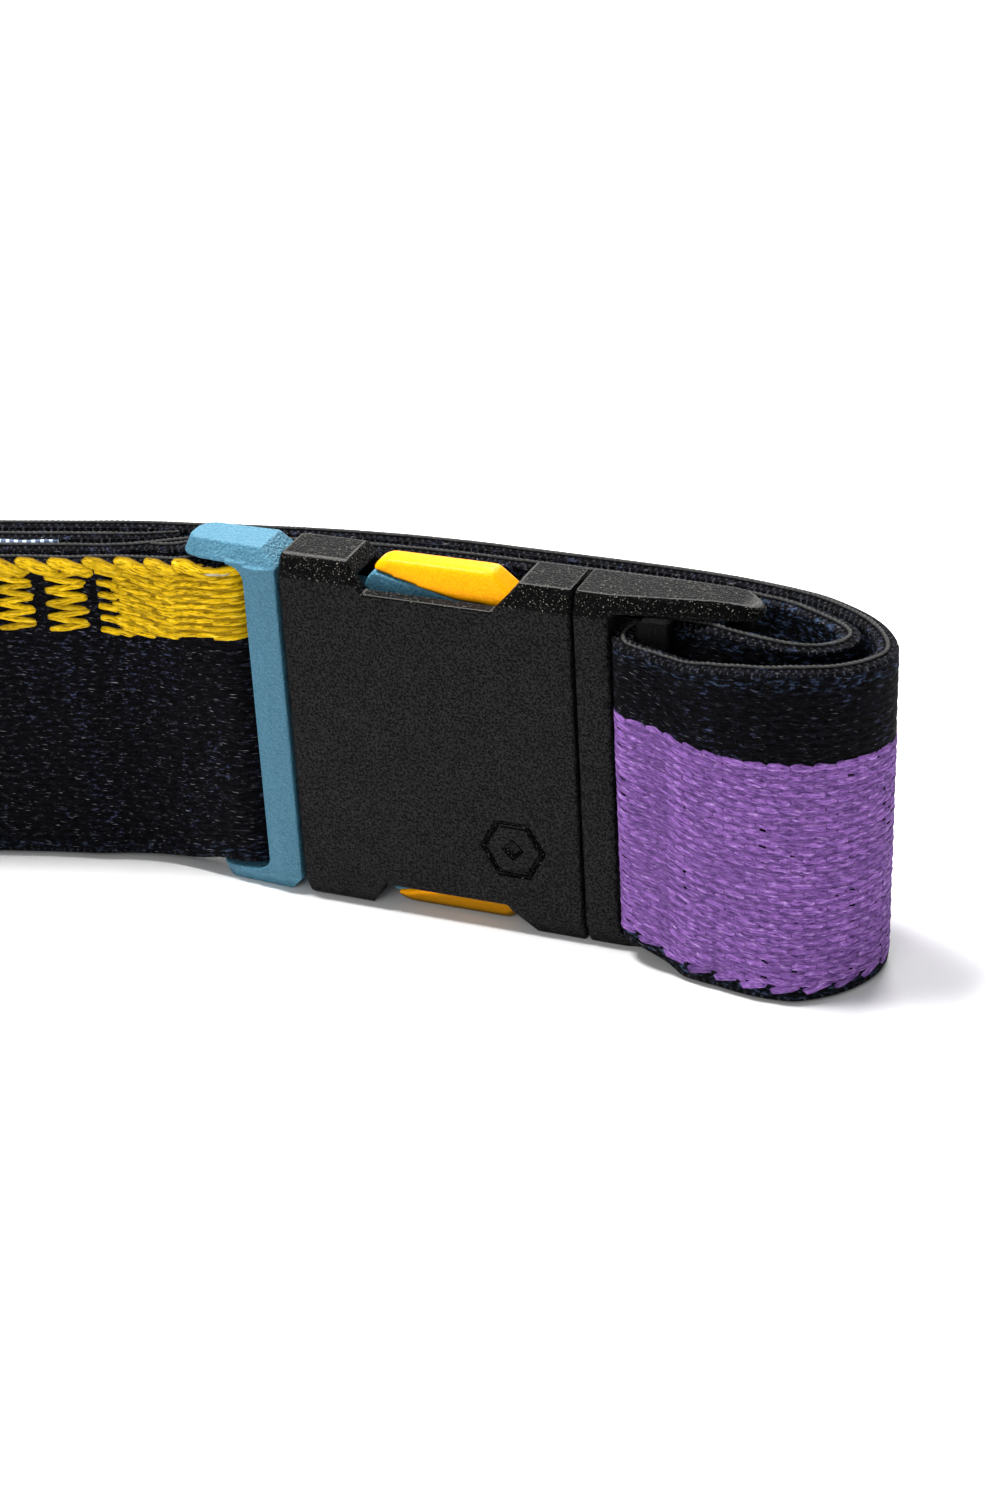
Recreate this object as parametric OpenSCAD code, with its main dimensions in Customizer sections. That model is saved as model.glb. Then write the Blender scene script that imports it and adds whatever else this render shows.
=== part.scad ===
// Stretch luggage strap, folded flat, buckled and standing on its long edge.
// +X runs along the strap to its adjuster end, +Z is up, and the buckle faces -Y.
// Plan positions of the strap and the buckle are measured from the seam between the
// housing and the end frame (x) and from the buckle's front face (y).

/* [Webbing] */
// Width of the webbing
web_w = 37.5; // [34:0.5:38]
// Thickness of the webbing
web_t = 2.4; // [2:0.1:2.4]

/* [Buckle body] */
// Overall height of the buckle, across the webbing
buckle_h = 42; // [42:0.5:46]
// Depth of the buckle, front face to rear face
buckle_d = 7.6; // [7.6:0.1:8]
// Height of the sloped band along the top and bottom of the faces
band_h = 2.6; // [2.2:0.1:2.8]
// How far the sloped band falls back over its height
band_y = 1.05; // [0.8:0.05:1.2]
// Length of the housing, from its mouth to the seam
housing_l = 33.3; // [33:0.1:34]
// Thickness of the housing's front and rear walls
wall = 1.6; // [1.4:0.1:1.7]
// Height of the webbing slots
slot_h = 37.9; // [37.9:0.1:38.4]

/* [Press windows] */
// Left end of a press window, at the housing's edge
window_left = -25.4; // [-26:0.1:-25]
// Right end of a press window, at the housing's edge
window_right = -5.7; // [-6:0.1:-5.4]
// How far a window is cut in from the housing's edge
window_depth = 3.3; // [3:0.1:3.5]

/* [End frame] */
// Width of the front strip
strip_w = 4.2; // [4:0.1:4.2]
// Length of the side rails, from the seam
rail_l = 19.6; // [19.4:0.1:20]
// Depth of the ladder bar
ladder_d = 2.1; // [1.8:0.1:2.1]

/* [Male half] */
// Radius of the bar that the webbing is sewn round
anchor_r = 1.3; // [1.2:0.05:1.3]
// Radius of a prong's hinge root
prong_root_r = 1.2; // [1.1:0.05:1.2]
// Radial running gap at a prong's hinge root
root_gap = 0.06; // [0.04:0.01:0.08]

/* [Hidden] */

// Where the seam and the front face stand in the part's own frame
seam_x = 130.08;
face_y = -0.21;

mid_z = buckle_h / 2;
face_top = mid_z - band_h;
slot_top = slot_h / 2;
slot_inset = (slot_top - face_top) / band_h * band_y;
web_lift = (buckle_h - web_w) / 2;

black_plastic = [0.13, 0.13, 0.14];
blue_plastic = [0.36, 0.63, 0.77];
yellow_plastic = [0.98, 0.76, 0.08];
dark_webbing = [0.06, 0.06, 0.1];
yellow_webbing = [0.85, 0.65, 0.1];
purple_webbing = [0.5, 0.33, 0.66];

// ---------------------------------------------------------------- helpers

// Moves a buckle piece, drawn about the buckle's mid height, to its place
module on_buckle() {
    translate([seam_x, face_y, mid_z]) children();
}

// Extrudes a plan outline (x, y) from height z0 to z1
module plan_plate(z0, z1) {
    translate([0, 0, z0]) linear_extrude(z1 - z0) children();
}

// Extrudes an edge-on outline (x, z) from depth y0 to y1
module side_plate(y0, y1) {
    translate([0, y1, 0]) rotate([90, 0, 0]) linear_extrude(y1 - y0) children();
}

// A stretch of the buckle's eight-sided section, from x0 to x1
module buckle_section(x0, x1) {
    far_y = buckle_d - band_y;
    translate([x0, 0, 0]) rotate([90, 0, 90]) linear_extrude(x1 - x0) polygon([
        [0, -face_top], [band_y, -mid_z], [far_y, -mid_z], [buckle_d, -face_top],
        [buckle_d, face_top], [far_y, mid_z], [band_y, mid_z], [0, face_top]
    ]);
}

// Solid between a low and a high plan outline of the same number of points
module frustum(low, high, z0, z1) {
    n = len(low);
    points = concat([for (p = low) [p[0], p[1], z0]], [for (p = high) [p[0], p[1], z1]]);
    sides = [for (i = [0:n - 1]) let (j = (i + 1) % n) each [[i, n + i, n + j], [i, n + j, j]]];
    caps = [[for (i = [0:n - 1]) i], [for (i = [2 * n - 1:-1:n]) i]];
    polyhedron(points = points, faces = concat(sides, caps), convexity = 4);
}

// The same child above and, turned over, below the buckle's mid height
module both_edges() {
    children();
    mirror([0, 0, 1]) children();
}

// ---------------------------------------------------------------- housing

cavity_end = -3;
cavity_h = 38.4;

// Outline of a press window's cut, drawn for the upper edge
module window_outline() {
    low = mid_z - window_depth;
    polygon([
        [window_left, mid_z + 1], [window_left, mid_z], [window_left + 2.1, low],
        [window_right - 3, low], [window_right, mid_z], [window_right, mid_z + 1]
    ]);
}

// Shallow emblem: a hexagonal groove round a small lozenge
module emblem() {
    groove = 0.5;
    translate([-7.7, 0, -10.5]) rotate([90, 0, 0]) translate([0, 0, -0.3]) linear_extrude(1) {
        difference() {
            circle(r = 3.7, $fn = 6);
            circle(r = 3.7 - groove, $fn = 6);
        }
        circle(r = 1.1, $fn = 4);
    }
}

module housing() {
    color(black_plastic) on_buckle() difference() {
        buckle_section(-housing_l, 0);
        translate([-housing_l - 1, wall, -cavity_h / 2])
            cube([housing_l + 1 + cavity_end, buckle_d - 2 * wall, cavity_h]);
        both_edges() side_plate(-1, buckle_d + 1) window_outline();
        // pocket for the end frame's plug
        translate([-1.6, 1.55, -17.05]) cube([2, buckle_d - 3.1, 34.1]);
        emblem();
    }
}

// ---------------------------------------------------------------- end frame

seam_gap = 0.3;
rail_front = 1.9;

// Plan outline of a side rail; inset draws it in from its front and rear edges
function rail_outline(inset) = [
    [strip_w - 0.5, inset + 0.3], [strip_w, inset], [rail_l - 2.6, rail_front + inset],
    [rail_l - 0.8, rail_front + inset + 0.8], [rail_l, rail_front + inset + 2.2],
    [rail_l - 0.4, buckle_d - inset - 0.9], [rail_l - 2.2, buckle_d - inset],
    [strip_w, buckle_d - inset], [strip_w - 0.5, buckle_d - inset - 0.3]
];

module end_frame() {
    color(black_plastic) on_buckle() {
        buckle_section(seam_gap, strip_w);
        // plug that holds the frame in the housing
        translate([-1.5, 1.6, -17]) cube([1.6 + seam_gap, buckle_d - 3.2, 34]);
        both_edges() frustum(rail_outline(slot_inset), rail_outline(band_y), slot_top, mid_z);
    }
}

ladder_y = 1.25;
ladder_x = 7.95;

module ladder_bar() {
    color(black_plastic) on_buckle() plan_plate(-slot_top, slot_top) {
        translate([ladder_x, ladder_y]) circle(d = ladder_d, $fn = 32);
        translate([ladder_x, ladder_y - ladder_d / 2]) square([2.7, ladder_d]);
    }
}

module end_bar() {
    color(black_plastic) on_buckle() plan_plate(-slot_top, slot_top) {
        translate([17, 4.5]) circle(r = 1.2, $fn = 32);
        translate([15.8, 4.5]) square([2.4, 2.2]);
    }
}

// ---------------------------------------------------------------- male half

bar_left = -37.5;
bar_right = -33.6;
prong_pivot = [-34.9, 16.6];

// Plan outlines of a blue side rail: at the slot, and on its smaller outer face
arm_low = [
    [bar_right, slot_inset], [bar_right, 7.1 - slot_inset], [-42.6, 6.8], [-43.9, 6.1],
    [-44.4, 4.4], [-44.3, 2.4], [-43.7, 1.4], [-42.3, 0.75]
];
arm_high = [
    [bar_right - 1.8, band_y + 0.2], [bar_right - 1.8, 7.1 - band_y], [-42.6, 6], [-43.3, 5.6],
    [-43.7, 4.4], [-43.7, 2.8], [-43.4, 2.1], [-42.7, 1.75]
];
// Side of the fillet in each front corner between the bar and the rails
corner_fillet = 2;

// Plate behind a front corner's fillet, let into the rail and the bar
module corner_plate() {
    let_in = 0.3;
    difference() {
        translate([bar_left - corner_fillet, slot_top - corner_fillet])
            square(corner_fillet + let_in);
        translate([bar_left - corner_fillet, slot_top - corner_fillet - 0.12])
            circle(r = corner_fillet, $fn = 48);
    }
}

module male_frame() {
    root_wall = -36.6;
    color(blue_plastic) on_buckle() difference() {
        union() {
            plan_plate(-slot_top, slot_top) polygon([
                [bar_left, 0.3], [-35.7, 0], [bar_right, 0.25], [bar_right, 1.9],
                [bar_left + 0.4, 1.9], [bar_left, 1.5]
            ]);
            plan_plate(-slot_top, slot_top)
                translate([root_wall, 1.9]) square([-34.7 - root_wall, 4]);
            both_edges() frustum(arm_low, arm_high, slot_top, mid_z);
            both_edges() side_plate(0.45, 1) corner_plate();
        }
        both_edges() side_plate(1.95, 8)
            translate(prong_pivot) circle(r = prong_root_r + root_gap, $fn = 40);
        // slot in the root wall that leaves the webbing's turn clear
        translate([root_wall - 1, 3.4, -15]) cube([1.2, 2.4, 30]);
    }
}

anchor_x = -41.2;
anchor_y = 4.6;

module anchor_bar() {
    color(blue_plastic) on_buckle() translate([anchor_x, anchor_y, -slot_top])
        cylinder(r = anchor_r, h = slot_h, $fn = 40);
}

module centre_guide() {
    color(blue_plastic) on_buckle() difference() {
        side_plate(2.1, 5.5) polygon([
            [-34.7, -5], [-12, -5], [-9, -3], [-9, 3], [-12, 5], [-34.7, 5]
        ]);
        side_plate(2, 6) polygon([[-30, -2.2], [-15, -2.2], [-15, 2.2], [-30, 2.2]]);
    }
}

// Slope that a press pad and its prong's barb share
barb_top = [[-22.9, 19.5], [-13.6, 17.4], [-6.6, 17]];

module prong() {
    root_x = prong_pivot[0];
    root_z = prong_pivot[1];
    side_plate(2.1, 5.5) translate([root_x, root_z]) circle(r = prong_root_r, $fn = 40);
    side_plate(2.1, 5.5) polygon(concat(
        [[root_x, root_z - 0.9], [root_x, root_z + 0.9], [-24.2, 17.2], [-23.7, 18.6]],
        barb_top,
        [[-5.4, 16.2], [-6.4, 15], [-12, 14.7], [-22, 15]]
    ));
}

module upper_prong() {
    color(blue_plastic) on_buckle() prong();
}

module lower_prong() {
    color(blue_plastic) on_buckle() mirror([0, 0, 1]) prong();
}

// Edge-on outline of a press pad, with its outer face raise above the barb line
module pad_outline() {
    polygon(concat(barb_top, [[-6.9, 18.2], [-9.5, mid_z - 0.05], [-21.6, mid_z - 0.05], [-22.9, 20.2]]));
}

module pad() {
    intersection() {
        side_plate(1, 7) pad_outline();
        // the long edges lean in, like the bands on the housing
        translate([-30, 0, 0]) rotate([90, 0, 90]) linear_extrude(30) polygon([
            [1.75, 16], [1.75, 18.2], [2.5, mid_z], [5.3, mid_z], [5.95, 18.2], [5.95, 16]
        ]);
    }
}

module upper_pad() {
    color(yellow_plastic) on_buckle() pad();
}

module lower_pad() {
    color(yellow_plastic) on_buckle() mirror([0, 0, 1]) pad();
}

// ---------------------------------------------------------------- strap route

// The folded strap bows: straight behind the buckle, then a bend, a straight and a
// counter-bend. u runs along it, v across it from the buckle's front face.
bow_start = 15;
bow_r = 120;
bow_angle = 15.5;
counter_start = 110;
counter_r = 160;
bow_end = bow_start + bow_r * bow_angle * PI / 180;
counter_end = counter_start + counter_r * bow_angle * PI / 180;

// Point and heading of the bow's own line, s to the left of the seam: [x, y, angle]
function bow_line(s) =
    s <= bow_start ? [-s, 0, 0] :
    s <= bow_end ? let (a = (s - bow_start) / bow_r * 180 / PI)
        [-bow_start - bow_r * sin(a), -bow_r * (1 - cos(a)), a] :
    s <= counter_start ? let (p = bow_line(bow_end), d = s - bow_end)
        [p[0] - d * cos(bow_angle), p[1] - d * sin(bow_angle), bow_angle] :
    s <= counter_end ? let (p = bow_line(counter_start), a = bow_angle - (s - counter_start) / counter_r * 180 / PI)
        [p[0] - counter_r * (sin(bow_angle) - sin(a)), p[1] - counter_r * (cos(a) - cos(bow_angle)), a] :
    let (p = bow_line(counter_end)) [p[0] - (s - counter_end), p[1], 0];

// Plan point at u along and v across the bowed strap, with its lift off the floor
function bundle(u, v, lift = 0) =
    let (p = bow_line(-u)) [p[0] - v * sin(p[2]), p[1] + v * cos(p[2]), lift];

// Points along an arc about (x, y), from angle a0 to a1
function arc(x, y, r, a0, a1, steps, lift) =
    [for (i = [0:steps]) let (a = a0 + (a1 - a0) * i / steps) [x + r * cos(a), y + r * sin(a), lift]];

front_v = 9.4;
tail_v = 12.9;
tail_back_v = 15.3;
outer_v = 18.1;
outer_far_v = 18.9;
fold_u = -290;
fold_r = (outer_far_v - front_v) / 2;
fold_v = (front_v + outer_far_v) / 2;
hem_u = -84;
hem_r = 1.5;
turn_gap = 0.15;
anchor_turn = anchor_r + turn_gap + web_t / 2;
ladder_turn = ladder_d / 2 + turn_gap + web_t / 2;

anchor_points = concat(
    [[-51.5, 6.1, 0.95], [-49, 6.1, 1.2], [-46.5, 6.3, 1.8], [-45, 6.6, 2.15], [-43.6, 6.95, web_lift]],
    arc(anchor_x, anchor_y, anchor_turn, 90, -90, 4, web_lift),
    [[-43.6, 2.15, 2.15]]
);
front_points = concat(
    [[-45.3, 2.4, 1.75], [-47, 2.7, 1.25], [-50, 3, 0.85], [-53, 2.95, 0.6], [-56.5, 2.4, 0.4], [-60, 1.4, 0.3]],
    [for (u = [-64:-12:-124]) bundle(u, front_v, u > -77 ? 0.2 : 0)]
);
front_far_points = [for (u = [-136:-12:-280]) bundle(u, front_v)];
fold_points = concat(
    [bundle(-284, front_v - 0.2)],
    [for (a = [-90:-30:-270]) bundle(fold_u + fold_r * cos(a), fold_v + fold_r * sin(a))],
    [bundle(-284, outer_far_v)]
);
back_far_points = [for (u = [-276:12:-132]) bundle(u, outer_far_v)];
back_points = [for (u = [-124:8:-36]) bundle(u, u < -50 ? outer_far_v : u < -42 ? 18.3 : outer_v)];
back_stretch_points = [for (u = [-30:6:-6]) bundle(u, outer_v)];
right_points = [
    [0, 18.1, 0], [6, 18, 0], [12, 17.6, 0], [18.8, 16.5, 0], [22.6, 15.3, 0], [27.1, 12.6, 0],
    [30, 9.5, 0], [31.4, 6.2, 0], [30.9, 3.3, 0], [29.3, 0.8, 0], [27.2, -1.1, 0], [24.3, -2.5, 0.1],
    [20.5, -3.1, 0.3], [16, -2.8, 0.7], [13, -2.3, 1.3]
];
wrap_points = concat(
    [[11, -1.75, 1.9]],
    arc(ladder_x, ladder_y, ladder_turn, -90, -270, 4, web_lift)
);
inner_points = [
    [10.8, 3.55, web_lift], [13.4, 2.7, web_lift], [16, 1.8, web_lift], [19, 1.6, 1.9],
    [22.3, 2.1, 1.3], [25.1, 3.5, 0.7], [27, 5.8, 0.3], [27.4, 8.1, 0.1], [26.3, 9.9, 0],
    [24.1, 11.4, 0], [19.8, 13.5, 0], [16, 14.4, 0], [11, 15, 0], [5, 15.3, 0]
];
tail_stretch_points = [for (u = [0:-6:-24]) bundle(u, tail_back_v)];
tail_points = concat(
    [for (u = [-30:-7:-37]) bundle(u, tail_back_v)],
    [bundle(-43.5, 15.1), bundle(-47, 14.4), bundle(-50.5, 13.4), bundle(-54, tail_v)],
    [for (u = [-60:-8:-76]) bundle(u, tail_v)]
);
hem_points = concat(
    [bundle(-79, tail_v)],
    [for (a = [-90:-45:-270]) bundle(hem_u + hem_r * cos(a), tail_v + hem_r + hem_r * sin(a))],
    [for (u = [-79:7:-51]) bundle(u, tail_v + 2 * hem_r)]
);

lists = [
    anchor_points, front_points, front_far_points, fold_points, back_far_points, back_points,
    back_stretch_points, right_points, wrap_points, inner_points, tail_stretch_points, tail_points, hem_points
];
route = [for (part = lists) for (p = part) p];
function first_of(k) = k == 0 ? 0 : first_of(k - 1) + len(lists[k - 1]);

// ---------------------------------------------------------------- strap sweep

ring_step = 2.5;

// Smooth curve through the route: place and direction at step t of the stretch after point i
function near_point(i) = route[max(0, min(len(route) - 1, i))];
function curve_at(i, t) = let (a = near_point(i - 1), b = near_point(i), c = near_point(i + 1), d = near_point(i + 2))
    0.5 * (2 * b + (c - a) * t + (2 * a - 5 * b + 4 * c - d) * t * t + (3 * b - a - 3 * c + d) * t * t * t);
function slope_at(i, t) = let (a = near_point(i - 1), b = near_point(i), c = near_point(i + 1), d = near_point(i + 2))
    0.5 * ((c - a) + 2 * (2 * a - 5 * b + 4 * c - d) * t + 3 * (3 * b - a - 3 * c + d) * t * t);

// Four corners of the webbing's section at step t after route point i
function section_at(i, t) = let (
        p = curve_at(i, t),
        z = max(0, p[2]),
        s = slope_at(i, t),
        side = [-s[1], s[0]] / norm([s[0], s[1]]) * web_t / 2
    ) [
        [p[0] - side[0], p[1] - side[1], z], [p[0] + side[0], p[1] + side[1], z],
        [p[0] + side[0], p[1] + side[1], z + web_w], [p[0] - side[0], p[1] - side[1], z + web_w]
    ];

function steps_after(i) = max(2, ceil(norm(near_point(i + 1) - near_point(i)) / ring_step));

// Sections of the webbing from route point i0 to i1
function sections(i0, i1) = concat(
    [for (i = [i0:i1 - 1]) let (n = steps_after(i)) for (k = [0:n - 1]) section_at(i, k / n)],
    [section_at(i1 - 1, 1)]
);

// Closed solid through a list of four-cornered sections
module sweep(rings) {
    n = len(rings);
    points = [for (ring = rings) for (p = ring) p];
    sides = [for (k = [0:n - 2]) for (j = [0:3]) let (
            a = 4 * k + j, b = 4 * k + (j + 1) % 4, c = a + 4, d = b + 4
        ) each [[a, c, b], [b, c, d]]];
    last = 4 * (n - 1);
    ends = [[0, 1, 2], [0, 2, 3], [last, last + 2, last + 1], [last, last + 3, last + 2]];
    polyhedron(points = points, faces = concat(sides, ends), convexity = 6);
}

// The k-th piece of the strap's route
module strap_piece(k) {
    last = k + 1 < len(lists) ? first_of(k + 1) : len(route) - 1;
    translate([seam_x, face_y, 0]) sweep(sections(first_of(k), last));
}

module anchor_loop() { color(yellow_webbing) strap_piece(0); }
module front_run() { color(yellow_webbing) strap_piece(1); }
module front_far_run() { color(yellow_webbing) strap_piece(2); }
module left_fold() { color(purple_webbing) strap_piece(3); }
module back_far_run() { color(dark_webbing) strap_piece(4); }
module back_run() { color(dark_webbing) strap_piece(5); }
module back_stretch() { color(dark_webbing) strap_piece(6); }
module right_loop() { color(purple_webbing) strap_piece(7); }
module bar_wrap() { color(dark_webbing) strap_piece(8); }
module inner_loop() { color(dark_webbing) strap_piece(9); }
module tail_stretch() { color(dark_webbing) strap_piece(10); }
module tail_run() { color(dark_webbing) strap_piece(11); }
module tail_hem() { color(dark_webbing) strap_piece(12); }

// ---------------------------------------------------------------- sewing and label

stitch_l = 2.2;
stitch_w = 0.6;
stitch_proud = 0.25;

// An upright row of stitches on the plan point, turned to the cloth's heading
module stitch_row(point, heading) {
    translate([seam_x + point[0], face_y + point[1], 0]) rotate([0, 0, heading])
        for (z = [6:3.2:35])
            translate([-stitch_w / 2, 0.02, z]) cube([stitch_w, stitch_proud, stitch_l]);
}

module anchor_stitching() {
    color(dark_webbing) for (x = [-48, -50.6])
        stitch_row([x, 6.1 + web_t / 2 + 0.1], 0);
}

module hem_stitching() {
    color(dark_webbing) for (u = [-70, -64])
        stitch_row(bundle(u, tail_v + 2 * hem_r + web_t / 2 + 0.05), bow_angle);
}

label_t = 0.4;

// A thin woven label held between the tail and its folded end
module care_label() {
    near_v = tail_v + web_t / 2 + 0.1;
    outline = concat(
        [for (u = [-60:-4:-76]) bundle(u, near_v)],
        [for (u = [-76:4:-60]) bundle(u, near_v + label_t)]
    );
    color([0.7, 0.85, 0.95]) translate([seam_x, face_y, 6])
        linear_extrude(31.3) polygon([for (p = outline) [p[0], p[1]]]);
}

// ---------------------------------------------------------------- drawing

housing();
end_frame();
ladder_bar();
end_bar();
male_frame();
anchor_bar();
centre_guide();
upper_prong();
lower_prong();
upper_pad();
lower_pad();
anchor_loop();
anchor_stitching();
front_run();
front_far_run();
left_fold();
back_far_run();
back_run();
back_stretch();
right_loop();
bar_wrap();
inner_loop();
tail_stretch();
tail_run();
tail_hem();
hem_stitching();
care_label();
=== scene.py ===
"""Looks of the folded stretch luggage strap: webbing, yarns, moulded plastics, light and camera."""

import math

import bmesh
import bpy
import numpy as np
from mathutils import Matrix, Vector


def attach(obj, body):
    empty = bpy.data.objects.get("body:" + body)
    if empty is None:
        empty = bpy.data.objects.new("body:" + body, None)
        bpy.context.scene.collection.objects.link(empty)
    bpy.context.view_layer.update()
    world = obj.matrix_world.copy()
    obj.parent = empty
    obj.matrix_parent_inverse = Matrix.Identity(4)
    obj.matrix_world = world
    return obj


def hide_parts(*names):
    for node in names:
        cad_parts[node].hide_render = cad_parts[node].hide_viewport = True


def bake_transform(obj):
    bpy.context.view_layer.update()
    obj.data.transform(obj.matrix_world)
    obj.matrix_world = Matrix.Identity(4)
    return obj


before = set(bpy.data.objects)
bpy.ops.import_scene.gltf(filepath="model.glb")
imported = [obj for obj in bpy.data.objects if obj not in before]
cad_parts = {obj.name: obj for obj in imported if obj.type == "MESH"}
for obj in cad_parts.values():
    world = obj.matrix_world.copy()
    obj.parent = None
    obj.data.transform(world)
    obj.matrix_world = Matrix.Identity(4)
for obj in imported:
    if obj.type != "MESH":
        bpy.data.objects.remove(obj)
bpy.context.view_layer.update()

# The strap's sizes are in millimetres up to the point where MM turns them into the scene's metres.
MM = 0.001
SEAM_X = 130.08  # seam between the housing and the end frame
FACE_Y = -0.21  # front face of the buckle
BUCKLE_H = 42.0  # height of the buckle over its rails
MID_Z = BUCKLE_H / 2
SLOT_TOP = 18.95  # from the buckle's middle to the inside of a rail
WEB_W = 37.5  # width of the webbing
WEB_T = 2.4  # thickness of the webbing
WEB_LIFT = (BUCKLE_H - WEB_W) / 2  # webbing that hangs in the middle of the buckle
CORE = 1.04  # half of the webbing's thickness without its yarn relief
random = np.random.default_rng(7)


# ---------------------------------------------------------------- material helpers


class Nodes:
    """A new material with short calls for its nodes."""

    def __init__(self, name, **shader_values):
        self.material = bpy.data.materials.new(name)
        self.material.use_nodes = True
        self.tree = self.material.node_tree
        self.shader = self.tree.nodes["Principled BSDF"]
        for socket, value in shader_values.items():
            self.shader.inputs[socket.replace("_", " ")].default_value = value

    def add(self, kind, **settings):
        node = self.tree.nodes.new("ShaderNode" + kind)
        for key, value in settings.items():
            setattr(node, key, value)
        return node

    def link(self, source, target):
        self.tree.links.new(source, target)

    def scaled(self, vector, scale):
        """The vector with each axis multiplied by scale."""
        node = self.add("Mapping")
        self.link(vector, node.inputs["Vector"])
        node.inputs["Scale"].default_value = scale
        return node.outputs["Vector"]

    def noise(self, vector, scale=1.0, detail=3.0, roughness=0.55):
        node = self.add("TexNoise")
        node.inputs["Scale"].default_value = scale
        node.inputs["Detail"].default_value = detail
        node.inputs["Roughness"].default_value = roughness
        self.link(vector, node.inputs["Vector"])
        return node.outputs["Fac"]

    def ramp(self, value, low, high, to_low=0.0, to_high=1.0):
        """value from low..high brought to to_low..to_high, clamped."""
        node = self.add("MapRange")
        node.inputs["From Min"].default_value = low
        node.inputs["From Max"].default_value = high
        node.inputs["To Min"].default_value = to_low
        node.inputs["To Max"].default_value = to_high
        self.link(value, node.inputs["Value"])
        return node.outputs["Result"]

    def math(self, operation, *values):
        node = self.add("Math", operation=operation)
        for socket, value in zip(node.inputs, values):
            if isinstance(value, (int, float)):
                socket.default_value = value
            else:
                self.link(value, socket)
        return node.outputs["Value"]

    def mix(self, factor, a, b):
        """Colour a where factor is 0 and b where it is 1."""
        node = self.add("MixRGB")
        for socket, value in zip(node.inputs, (factor, a, b)):
            if isinstance(value, tuple):
                socket.default_value = (*value, 1.0)
            else:
                self.link(value, socket)
        return node.outputs["Color"]

    def attribute(self, name):
        node = self.add("Attribute", attribute_name=name)
        return node.outputs["Fac"]

    def uv(self, name):
        return self.add("UVMap", uv_map=name).outputs["UV"]

    def colour(self, value):
        self.link(value, self.shader.inputs["Base Color"])

    def bump(self, height, distance):
        """Bump by height; distance in metres."""
        node = self.add("Bump")
        node.inputs["Strength"].default_value = 1.0
        node.inputs["Distance"].default_value = distance
        self.link(height, node.inputs["Height"])
        self.link(node.outputs["Normal"], self.shader.inputs["Normal"])


SLOPE_SHADE = (0.0007, 0.0007, 0.0007)
EDGE_GLINT = (0.13, 0.127, 0.12)


def plastic(name, colour, dark, roughness, specular, grain=0.0003, sparkle_glint=None, under=None, wall_shade=None):
    """Moulded plastic with a fine spark-eroded grain.

    speck colours painted sparkle highlights, specks on the surfaces that slope upwards; under paints
    shade on the surfaces that face down and walls, in part, shade on the upright ones. Slopes of a
    specked plastic get painted shade and its rounded top edges a painted highlight.
    """
    m = Nodes(name, Roughness=roughness, Specular_IOR_Level=specular)
    place = m.add("TexCoord").outputs["Object"]
    cloud = m.noise(place, 260, 2.0)
    fine = m.noise(place, 4000, 1.0)
    tint = m.mix(m.ramp(fine, 0.43, 0.57), dark, colour)
    tint = m.mix(m.ramp(cloud, 0.3, 0.7, 0.0, 0.25), tint, dark)
    facing = m.add("SeparateXYZ")
    m.link(m.add("NewGeometry").outputs["Normal"], facing.inputs["Vector"])
    up = facing.outputs["Z"]
    # Painted shade on the surfaces that face down
    if under:
        tint = m.mix(m.ramp(up, -0.40, 0.05, 1, 0), tint, under)
    # Painted shade, in part, on the upright faces
    if wall_shade:
        steep = m.math("ABSOLUTE", up)
        tint = m.mix(m.ramp(steep, 0.30, 0.60, 0.5, 0.0), tint, wall_shade)
    # Painted light by facing: shade on slopes, sparkle highlights as specks on upward surfaces, a highlight
    # on rounded top edges
    if sparkle_glint:
        upward = m.ramp(up, 0.15, 0.30)
        level = m.ramp(up, 0.84, 0.96)
        sloping = m.math("SUBTRACT", upward, level)
        tint = m.mix(sloping, tint, SLOPE_SHADE)
        sparkle_spots = m.ramp(m.noise(place, 5200, 1.0), 0.65, 0.73)
        tint = m.mix(m.math("MULTIPLY", sparkle_spots, upward), tint, sparkle_glint)
        rim = m.math("MULTIPLY", m.ramp(up, 0.74, 0.84), m.ramp(up, 0.90, 0.97, 1, 0))
        tint = m.mix(m.math("MULTIPLY", rim, 0.7), tint, EDGE_GLINT)
    m.colour(tint)
    m.bump(m.noise(place, 3300, 2.0), grain)
    return m.material


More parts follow.
